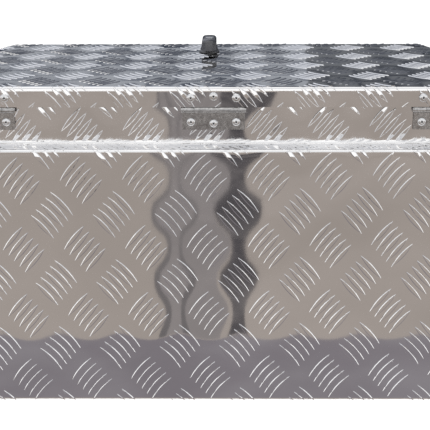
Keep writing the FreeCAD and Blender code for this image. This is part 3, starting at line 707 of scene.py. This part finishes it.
def side_planes(plate, shape):
    """The two upright planes along the inner faces of the side walls."""
    inset = 2 * over(plate) + shape.wall_gap
    return [(Vector((side * plan_half(0.0, inset), 0, 0)), side_facing(side)) for side in (-1, 1)]


def whole_band(half, path):
    """A strip's outline: the same reach either way, and the whole section."""
    return [(-half, 0), (half, 0), (half, path.length), (-half, path.length)]


FLAT = (Vector((0, 0)), Vector((1, 0)), Vector((0, 1)))


class TOOLBOX_OT_rear_wall(bpy.types.Operator):
    """Fold the rear plate: lower face, ledge, neck, gutter and land"""
    bl_idname = "toolbox.rear_wall"
    bl_label = "Rear wall"

    def execute(self, context):
        plate, shape = settings()
        rise = plate.bar_height
        lip = NECK + shape.gutter_width
        shelf = LID_FOOT + shape.gutter_rise
        corners = [
            (BACK + rise, 0.0),
            (BACK + rise, shape.ledge_height - rise),
            (NECK + rise, shape.ledge_height - rise),
            (NECK + rise, shelf - rise),
            (lip + rise, shelf - rise),
            (lip + rise, LAND - rise),
            (lip + shape.land_width, LAND - rise),
        ]
        outer, inner = plate.fold_radius - rise, plate.inner_radius + rise
        path = FoldPath(corners, [outer, inner, outer, inner, outer])
        wide = plan_half(BACK, 0.0) + 0.01
        strip = Strip((0, 0, 0), (1, 0, 0), path, whole_band(wide, path))
        pattern = Pattern(REAR_PATTERN, REAR_PATTERN_TURN)
        planes = side_planes(plate, shape)
        tread_plate("rear_plate", [(strip, FLAT, planes)], pattern, plate, "box", "rear_wall")
        return {"FINISHED"}


class TOOLBOX_OT_front_wall(bpy.types.Operator):
    """Fold the latch-side plate and its land"""
    bl_idname = "toolbox.front_wall"
    bl_label = "Front wall"

    def execute(self, context):
        plate, shape = settings()
        rise = plate.bar_height
        face = FRONT_HIGH.y - rise
        corners = [(FRONT_HIGH.y - shape.land_width, LAND - rise), (face, LAND - rise), (face, 0.0)]
        path = FoldPath(corners, [plate.fold_radius - rise])
        wide = plan_half(FRONT_LOW.y, 0.0) + 0.01
        strip = Strip((0, 0, 0), (1, 0, 0), path, whole_band(wide, path))
        pattern = Pattern(FRONT_PATTERN)
        planes = side_planes(plate, shape)
        tread_plate("front_plate", [(strip, FLAT, planes)], pattern, plate, "box", "front_wall")
        return {"FINISHED"}


class TOOLBOX_OT_side_walls(bpy.types.Operator):
    """Cut the two side plates, stepped behind the neck"""
    bl_idname = "toolbox.side_walls"
    bl_label = "Side walls"

    def execute(self, context):
        plate, shape = settings()
        rise = plate.bar_height
        inset = over(plate) + shape.wall_gap
        far = Vector((0, 1, 0))
        span = 0.4
        for word, side in (("left", -1), ("right", 1)):
            outwards = side_facing(side)
            along = Vector((outwards.y, -outwards.x, 0))
            foot = Vector((side * plan_half(0.0, inset), 0, 0))
            section = [(-shape.land_width - over(plate), LAND - rise), (-rise, LAND - rise), (-rise, 0.0)]
            full = FoldPath(section, [plate.fold_radius - rise])
            low = FoldPath([(-rise, shape.ledge_height), (-rise, 0.0)], [])
            strips = []
            for path, near, front, top in ((full, NECK, FRONT_HIGH.y, 0.0),
                                           (low, BACK, NECK, full.length - shape.ledge_height)):
                strip = Strip(foot, along, path, whole_band(span, path), outwards)
                strip_frame = (Vector((0, top)), Vector((1, 0)), Vector((0, 1)))
                planes = [(Vector((0, near, 0)), -far), (Vector((0, front, 0)), far)]
                strips.append((strip, strip_frame, planes))
            pattern = Pattern((SIDE_PATTERN[0] * side, SIDE_PATTERN[1]))
            tread_plate(f"{word}_plate", strips, pattern, plate, "box", f"{word}_side_wall")
        return {"FINISHED"}


class TOOLBOX_OT_lid(bpy.types.Operator):
    """Fold the lid down on its four sides"""
    bl_idname = "toolbox.lid"
    bl_label = "Lid"

    def execute(self, context):
        plate, _ = settings()
        rise = plate.bar_height
        radius = plate.fold_radius - rise
        top = LID_TOP - rise
        inset = rise + radius
        rear, front = LID_LOW.y + inset, LID_HIGH.y - inset
        corners = [
            Vector((-plan_half(rear, inset), rear)),
            Vector((plan_half(rear, inset), rear)),
            Vector((plan_half(front, inset), front)),
            Vector((-plan_half(front, inset), front)),
        ]
        flat_path = FoldPath([(rear, top), (front, top)], [])
        shifted = [(corner.x, corner.y - rear) for corner in corners]
        flat_frame = (Vector((0, rear)), Vector((1, 0)), Vector((0, 1)))
        strips = [(Strip((0, 0, 0), (1, 0, 0), flat_path, shifted), flat_frame, [])]
        path = FoldPath([(0.0, top), (radius, top), (radius, LID_FOOT)], [radius])
        for index in range(4):
            first, second = corners[index], corners[(index + 1) % 4]
            run = (second - first).normalized()
            outwards = Vector((run.y, -run.x))
            along = Vector((outwards.y, -outwards.x))
            length = (second - first).length
            spare = 3 * inset
            outline = [(-length - spare, 0), (spare, 0), (spare, path.length), (-length - spare, path.length)]
            planes = []
            before, after = corners[index - 1], corners[(index + 2) % 4]
            for corner, other, sign in ((first, before, -1), (second, after, 1)):
                next_run = (other - corner).normalized()
                inward = (run * -sign + next_run).normalized()
                square = Vector((inward.y, -inward.x))
                if square.dot(run) * sign < 0:
                    square = -square
                planes.append((Vector((*corner, 0)), Vector((*square, 0))))
            strip = Strip((*first, 0), (*along, 0), path, outline, (*outwards, 0))
            strips.append((strip, (first.copy(), along, outwards), planes))
        pattern = Pattern(LID_PATTERN)
        tread_plate("lid_plate", strips, pattern, plate, "lid", "lid_panel")
        return {"FINISHED"}


# ---------------------------------------------------------------- turned and small pieces

def turned(bm, profile, axis, origin, steps=32):
    """Spin a profile of (radius, distance along the axis) into a closed round."""
    axis = Vector(axis)
    across = Vector((0, 0, 1)) if abs(axis.z) < 0.5 else Vector((1, 0, 0))
    origin = Vector(origin)
    before = set(bm.verts)
    points = [bm.verts.new(origin + across * radius + axis * height) for radius, height in profile]
    edges = [bm.edges.new(pair) for pair in zip(points, points[1:])]
    bmesh.ops.spin(bm, geom=points + edges, cent=origin, axis=axis, angle=math.tau, steps=steps,
                   use_merge=True)
    made = [vertex for vertex in bm.verts if vertex not in before]
    bmesh.ops.remove_doubles(bm, verts=made, dist=1e-6)


# a blind rivet in millimetres, as (radius, height): its head with mandrel hole and rolled ring, its tail
# measured from the far side of the sheets, and the mandrel's broken stub
RIVET_HEAD_LINE = ((0.0, 0.3), (0.85, 0.3), (0.9, 1.2), (1.05, 1.38), (1.4, 1.4), (1.75, 1.22), (2.0, 1.12),
                   (2.5, 1.12), (3.1, 0.98), (3.6, 0.66), (3.92, 0.3), (4.0, 0.08), (3.95, 0.0), (1.95, 0.0))
RIVET_TAIL_LINE = ((1.95, 0.0), (2.45, -0.3), (2.6, -1.1), (2.3, -2.0), (1.3, -2.45), (0.0, -2.45))
STUB_LINE = ((0.0, 0.2), (0.8, 0.2), (0.8, 0.62), (0.0, 0.7))
# the flared foot of the handle, likewise
HUB_LINE = ((0.0, 0.0), (9.8, 0.0), (10.0, 0.3), (9.8, 0.9), (8.9, 3.2), (8.0, 4.8), (7.4, 5.6), (0.0, 5.6))


def in_metres(line, lower=0.0):
    """A line of millimetre pairs in metres, moved down its axis."""
    return [(radius * MM, height * MM - lower) for radius, height in line]


class TOOLBOX_OT_rivets(bpy.types.Operator):
    """Turn the blind rivets of the hinges and of the strike"""
    bl_idname = "toolbox.rivets"
    bl_label = "Rivets"

    def execute(self, context):
        for node, body, way in (("body_hinge_rivets", "box", -1), ("lid_hinge_rivets", "lid", -1),
                                ("strike_rivets", "box", 1)):
            bm, stubs = bmesh.new(), bmesh.new()
            for low, high in rivet_boxes(node):
                face = low.y + RIVET_HEAD if way < 0 else high.y - RIVET_HEAD
                middle = (low + high) / 2
                grip = high.y - low.y - RIVET_HEAD - RIVET_TAIL
                spot = (middle.x, face, middle.z)
                turned(bm, in_metres(RIVET_HEAD_LINE) + in_metres(RIVET_TAIL_LINE, grip), (0, way, 0), spot)
                turned(stubs, in_metres(STUB_LINE), (0, way, 0), spot, steps=16)
            made = piece_from(bm, f"{node}_turned", body, "rivet", smooth_angle=50.0)
            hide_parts(node)
            # the stubs carry painted shade: their near-black steel darkens each rivet's mandrel hole
            piece_from(stubs, f"{node}_stubs", body, "rivet", surface="mandrel")
        return {"FINISHED"}


def rivet_boxes(node):
    """The lowest and highest corner of each rivet in a node."""
    mesh = bpy.data.objects[node].data
    bm = bmesh.new()
    bm.from_mesh(mesh)
    bmesh.ops.remove_doubles(bm, verts=bm.verts, dist=1e-6)
    left = set(bm.verts)
    boxes = []
    while left:
        found, queue = set(), [next(iter(left))]
        while queue:
            vertex = queue.pop()
            if vertex in found:
                continue
            found.add(vertex)
            queue += [edge.other_vert(vertex) for edge in vertex.link_edges]
        left -= found
        low = Vector([min(vertex.co[i] for vertex in found) for i in range(3)])
        high = Vector([max(vertex.co[i] for vertex in found) for i in range(3)])
        boxes.append((low, high))
    bm.free()
    return sorted(boxes, key=lambda pair: pair[0].x)


def round_edges(bm, chosen, offset, segments):
    """Bevel the edges that pass a test."""
    edges = [edge for edge in bm.edges if chosen(edge.verts[0].co, edge.verts[1].co)]
    bmesh.ops.bevel(bm, geom=edges, offset=offset, segments=segments, profile=0.5,
                    affect="EDGES", material=-1)


class TOOLBOX_OT_handle(bpy.types.Operator):
    """Shape the turn handle and the collar that it stands in"""
    bl_idname = "toolbox.handle"
    bl_label = "Turn handle"

    def execute(self, context):
        bm = bmesh.new()
        hub_foot = HANDLE_LOW.z
        top = HANDLE_HIGH.z - 0.35 * MM
        foot = hub_foot + 0.6 * MM
        half_wide = (HANDLE_HIGH.x - HANDLE_LOW.x) / 2
        half_long = (HANDLE_HIGH.y - HANDLE_LOW.y) / 2
        bmesh.ops.create_cube(bm, size=2.0)
        bmesh.ops.scale(bm, vec=(half_wide, half_long, (top - foot) / 2), verts=bm.verts)
        bmesh.ops.translate(bm, vec=(LATCH.x, LATCH.y, (top + foot) / 2), verts=bm.verts)
        near = 0.01 * MM
        round_edges(bm, lambda a, b: abs(a.z - b.z) > MM, 4.2 * MM, 1)
        round_edges(bm, lambda a, b: min(a.z, b.z) > top - near, 4.0 * MM, 7)
        round_edges(bm, lambda a, b: max(a.z, b.z) < foot + near, 1.4 * MM, 3)
        turned(bm, in_metres(HUB_LINE), (0, 0, 1), (LATCH.x, LATCH.y, hub_foot), steps=48)
        made = piece_from(bm, "turn_handle_shaped", "latch", "black_handle", smooth_angle=40.0)
        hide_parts("turn_handle")
        collar = bmesh.new()
        base = COLLAR_HIGH.z - 2.4 * MM
        barrel = COLLAR_LOW.z
        rings = [(0.0, barrel), (7.4 * MM, barrel), (8.0 * MM, barrel + 0.6 * MM), (8.0 * MM, base),
                 (11.3 * MM, base), (11.3 * MM, base + 0.7 * MM), (10.9 * MM, base + 1.2 * MM),
                 (10.0 * MM, base + 2.2 * MM), (9.7 * MM, COLLAR_HIGH.z), (0.0, COLLAR_HIGH.z)]
        turned(collar, rings, (0, 0, 1), (LATCH.x, LATCH.y, 0.0), steps=64)
        made = piece_from(collar, "latch_collar", "lid", "black_handle", smooth_angle=40.0)
        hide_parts("latch_housing")
        return {"FINISHED"}


class TOOLBOX_OT_welds(bpy.types.Operator):
    """Run fine weld beads down the corners"""
    bl_idname = "toolbox.welds"
    bl_label = "Corner welds"

    def execute(self, context):
        plate, shape = settings()
        inset = 2 * over(plate) + shape.wall_gap
        radius, ripple = 1.1 * MM, 1.9 * MM
        bm = bmesh.new()
        runs = [(BACK, shape.ledge_height - 2 * MM, 1), (FRONT_HIGH.y, LAND - 4 * MM, -1)]
        for side in (-1, 1):
            for y, height, inwards in runs:
                x = side * (plan_half(y, inset) - 0.1 * MM)
                centre = Vector((x, y + inwards * radius, 0))
                count = round(height / ripple)
                profile = [(0.0, 0.0)]
                for step in range(2 * count + 1):
                    swell = 1.0 if step % 2 else 0.84
                    profile.append((radius * swell, height * step / (2 * count)))
                profile.append((0.0, height))
                turned(bm, profile, (0, 0, 1), centre, steps=8)
        piece_from(bm, "corner_welds", "box", "tread_plate", surface="weld", smooth_angle=60.0)
        return {"FINISHED"}


class TOOLBOX_OT_inner_parts(bpy.types.Operator):
    """Give the hinges, the floor and everything inside its finish"""
    bl_idname = "toolbox.inner_parts"
    bl_label = "Hinges and inner parts"

    def execute(self, context):
        for entry in frame["record"]["subparts"]:
            node = bpy.data.objects[entry["node"]]
            surface = finish(entry["material_slot"])
            for slot in node.material_slots:
                slot.material = surface
        return {"FINISHED"}


# ---------------------------------------------------------------- studio

CAMERA_PLACE = (0.01118, BACK - 0.9734, 0.478)
CAMERA_PITCH = 16.478
CAMERA_YAW = -0.579
CAMERA_ROLL = -0.172
CAMERA_LENS = 90.85

# the reflection cards: strips on the floor before the rear wall, and a ring of sky round the box
NEAR_EDGE = 0.15
FAR_EDGE = 1.9
FLOOR_REACH = 3.0
RING_RADIUS = 2.6
RING_STEPS = 28
GLOOMY_STEPS = 13
DUSKY_STEPS = 14
HAZE_FOOT = 0.72
SKY_FOOT = 0.95
SKY_TOP = 3.2


def glow(name, colour, second=None, scale=3.0, strength=1.0):
    """The light of a studio card, plain or clouded with a second colour."""
    made = bpy.data.materials.new(name)
    made.use_nodes = True
    tree = made.node_tree
    tree.nodes.clear()
    light = tree.nodes.new("ShaderNodeEmission")
    light.inputs["Color"].default_value = (*colour, 1.0)
    light.inputs["Strength"].default_value = strength
    if second:
        clouds = tint(tree, grain(tree, scale, detail=3.0), colour, second, 0.4, 0.6)
        tree.links.new(clouds, light.inputs["Color"])
    output = tree.nodes.new("ShaderNodeOutputMaterial")
    tree.links.new(light.outputs["Emission"], output.inputs["Surface"])
    return made


def horizon(name, strength):
    """The light of a cloudy horizon: dark bands above and below two paler ones."""
    made = glow(name, (0.0, 0.0, 0.0), strength=strength)
    tree = made.node_tree
    wander = spread(tree, grain(tree, 2.2, (1.0, 1.0, 2.0)), -0.06, 0.06)
    band = spread(tree, combine(tree, "ADD", height_in(tree), wander), 0.0, 1.0, 0.5, SKY_FOOT)
    ramp = tree.nodes.new("ShaderNodeValToRGB")
    dark, pale = (0.05, 0.062, 0.088, 1.0), (0.39, 0.41, 0.45, 1.0)
    middling = (0.13, 0.145, 0.18, 1.0)
    stops = ((0.0, dark), (0.22, dark), (0.3, pale), (0.43, pale), (0.47, middling), (0.52, middling),
             (0.56, pale), (0.64, pale), (0.7, dark))
    ramp.color_ramp.elements[1].position = 1.0
    ramp.color_ramp.elements[1].color = (0.1, 0.115, 0.15, 1.0)
    ramp.color_ramp.elements[0].color = dark
    for position, colour in stops[1:]:
        ramp.color_ramp.elements.new(position).color = colour
    tree.links.new(band, ramp.inputs["Fac"])
    tree.links.new(ramp.outputs["Color"], tree.nodes["Emission"].inputs["Color"])
    return made


def card(name, corners, surface):
    """A studio card that only shows in reflections."""
    bm = bmesh.new()
    bm.faces.new([bm.verts.new(corner) for corner in corners])
    made = put(name, mesh_from(bm, name))
    made.data.materials.append(surface)
    made.visible_camera = False
    made.visible_diffuse = False
    made.visible_shadow = False


def level_card(name, low, high, height, surface):
    """A level card between two corners in plan."""
    (left, near), (right, far) = low, high
    plan = ((left, near), (right, near), (right, far), (left, far))
    card(name, [(*corner, height) for corner in plan], surface)


def upright_card(name, ends, low, high, surface):
    """An upright card over a line in plan."""
    first, second = ends
    card(name, [(*first, low), (*second, low), (*second, high), (*first, high)], surface)


def lamp(name, place, aim, width, height, power):
    """A soft rectangular light turned to a point."""
    data = bpy.data.lights.new(name, "AREA")
    data.shape = "RECTANGLE"
    data.size = width
    data.size_y = height
    data.energy = power
    made = put(name, data)
    way = Vector(aim) - Vector(place)
    made.location = place
    made.rotation_euler = way.to_track_quat("-Z", "Y").to_euler()
    made.visible_glossy = False


class TOOLBOX_OT_stage(bpy.types.Operator):
    """Set the floor, the lights, the reflection cards and the camera"""
    bl_idname = "toolbox.stage"
    bl_label = "Studio"

    def execute(self, context):
        scene = context.scene
        bm = bmesh.new()
        bmesh.ops.create_grid(bm, x_segments=1, y_segments=1, size=12.0)
        floor = put("studio_floor", mesh_from(bm, "studio_floor"))
        floor.data.materials.append(material("pale_floor", (0.93, 0.93, 0.93), 0.0, 0.9)[0])

        world = bpy.data.worlds.new("studio")
        scene.world = world
        world.use_nodes = True
        sky = world.node_tree.nodes["Background"]
        sky.inputs["Color"].default_value = (1.0, 1.0, 1.0, 1.0)
        sky.inputs["Strength"].default_value = 1.2
        scene.view_settings.view_transform = "Standard"

        warm = glow("warm_floor", (0.365, 0.322, 0.293), (0.395, 0.35, 0.321), 2.2)
        near = glow("near_floor", (0.22, 0.20, 0.22), (0.262, 0.243, 0.262), 6.0)
        deep = glow("dark_strip", (0.072, 0.067, 0.073), (0.15, 0.138, 0.14), 9.0)
        dim = glow("dim_strip", (0.16, 0.148, 0.15), (0.2, 0.184, 0.184), 5.0)
        grey = glow("grey_strip", (0.285, 0.26, 0.257), (0.25, 0.228, 0.226), 5.0)
        slate = horizon("slate_horizon", 0.9)
        gloom = horizon("gloomy_horizon", 0.4)
        dusk = glow("dusk_sky", (0.075, 0.083, 0.103), (0.17, 0.18, 0.21), 1.5)
        haze = glow("front_haze", (0.66, 0.67, 0.7), (0.88, 0.89, 0.91), 2.5)
        bright = glow("bright_sky", (0.62, 0.65, 0.72), (0.8, 0.82, 0.88), 1.5)
        level_card("floor_card", (-FLOOR_REACH, -FLOOR_REACH), (FLOOR_REACH, FLOOR_REACH), MM, warm)
        low, high = Vector(CAD_BOX[0]).xy, Vector(CAD_BOX[1]).xy
        margin = Vector((NEAR_EDGE, NEAR_EDGE))
        level_card("near_card", low - margin, high + margin, 2 * MM, near)
        eye = Vector(CAMERA_PLACE)
        reach = BACK - eye.y
        for name, left, right, near_width, far_width, surface in (
                ("outer_leg", -0.051, -0.044, 1.0, 1.0, dim),
                ("pale_leg", -0.044, -0.03, 1.0, 1.0, grey),
                ("inner_leg", -0.03, -0.024, 1.0, 1.0, dim),
                ("grey_card", -0.024, 0.008, 1.0, 1.0, grey),
                ("deep_card", 0.008, 0.038, 0.5, 1.45, deep)):
            middle = (left + right) / 2
            corners = []
            for away, width in ((NEAR_EDGE, near_width), (FAR_EDGE, far_width)):
                spread_out = 1 + away / reach
                ends = [middle + (x - middle) * width for x in (left, right)]
                pair = [(eye.x + (x - eye.x) * spread_out, BACK - away, 3 * MM) for x in ends]
                corners += pair if away == NEAR_EDGE else reversed(pair)
            card(name, corners, surface)
        for step in range(RING_STEPS):
            turns = (math.pi * step / RING_STEPS, math.pi * (step + 1) / RING_STEPS)
            ends = [(RING_RADIUS * math.cos(turn), RING_RADIUS * math.sin(turn)) for turn in turns]
            opposite = [(x, -y) for x, y in ends]
            horizon_light = gloom if step < GLOOMY_STEPS else slate
            sky_light = dusk if step < DUSKY_STEPS else bright
            upright_card(f"slate_card_{step}", ends, 0.0, SKY_FOOT, horizon_light)
            upright_card(f"sky_card_{step}", ends, SKY_FOOT, SKY_TOP, sky_light)
            upright_card(f"haze_card_{step}", opposite, HAZE_FOOT, SKY_TOP, haze)
        for name, side, surface in (("dusk_ceiling", 1, dusk), ("bright_ceiling", -1, bright)):
            level_card(name, (0.0, 0.1), (side * RING_RADIUS, RING_RADIUS), SKY_TOP, surface)

        lamp("overhead", (0.0, -0.5, 2.2), (0.0, 0.0, 0.2), 2.4, 1.8, 34.0)
        lamp("front_fill", (-1.2, -2.2, 1.4), (0.0, 0.0, 0.2), 1.4, 1.0, 14.0)

        data = bpy.data.cameras.new("camera")
        data.sensor_width = 36.0
        data.lens = CAMERA_LENS
        data.clip_start = 0.01
        camera = put("camera", data)
        pitch, yaw, roll = (math.radians(angle) for angle in (CAMERA_PITCH, CAMERA_YAW, CAMERA_ROLL))
        ahead = Vector((math.sin(yaw) * math.cos(pitch), math.cos(yaw) * math.cos(pitch), -math.sin(pitch)))
        right = Vector((math.cos(yaw), -math.sin(yaw), 0))
        up = right.cross(ahead)
        tilted_right = right * math.cos(roll) + up * math.sin(roll)
        tilted_up = up * math.cos(roll) - right * math.sin(roll)
        turn = Matrix((tilted_right, tilted_up, -ahead)).transposed()
        camera.matrix_world = Matrix.Translation(CAMERA_PLACE) @ turn.to_4x4()
        scene.camera = camera
        return {"FINISHED"}


class TOOLBOX_PT_panel(bpy.types.Panel):
    """Lists the steps that build the tool box"""
    bl_idname = "TOOLBOX_PT_panel"
    bl_label = "Tool box"
    bl_space_type = "VIEW_3D"
    bl_region_type = "UI"
    bl_category = "Tool box"

    def draw(self, context):
        for step in STEPS:
            self.layout.operator(step.bl_idname)
        for word in GROUPS:
            group = getattr(context.scene, word)
            for value in group.bl_rna.properties.keys():
                if value not in ("rna_type", "name"):
                    self.layout.prop(group, value)


STEPS = (
    TOOLBOX_OT_inner_parts,
    TOOLBOX_OT_rear_wall,
    TOOLBOX_OT_front_wall,
    TOOLBOX_OT_side_walls,
    TOOLBOX_OT_lid,
    TOOLBOX_OT_rivets,
    TOOLBOX_OT_handle,
    TOOLBOX_OT_welds,
    TOOLBOX_OT_stage,
)
GROUPS = {
    "toolbox_plate": ToolboxPlate,
    "toolbox_shape": ToolboxShape,
    "toolbox_colours": ToolboxColours,
}


def register():
    """Make the groups, the steps and the panel known to Blender."""
    for word, group in GROUPS.items():
        bpy.utils.register_class(group)
        setattr(bpy.types.Scene, word, bpy.props.PointerProperty(type=group))
    for step in STEPS + (TOOLBOX_PT_panel,):
        bpy.utils.register_class(step)


def unregister():
    """Take them away again."""
    for step in reversed(STEPS + (TOOLBOX_PT_panel,)):
        bpy.utils.unregister_class(step)
    for word, group in reversed(GROUPS.items()):
        delattr(bpy.types.Scene, word)
        bpy.utils.unregister_class(group)


def main():
    """Build everything in order."""
    register()
    for step in STEPS:
        group, word = step.bl_idname.split(".")
        getattr(getattr(bpy.ops, group), word)()


if __name__ == "__main__":
    main()
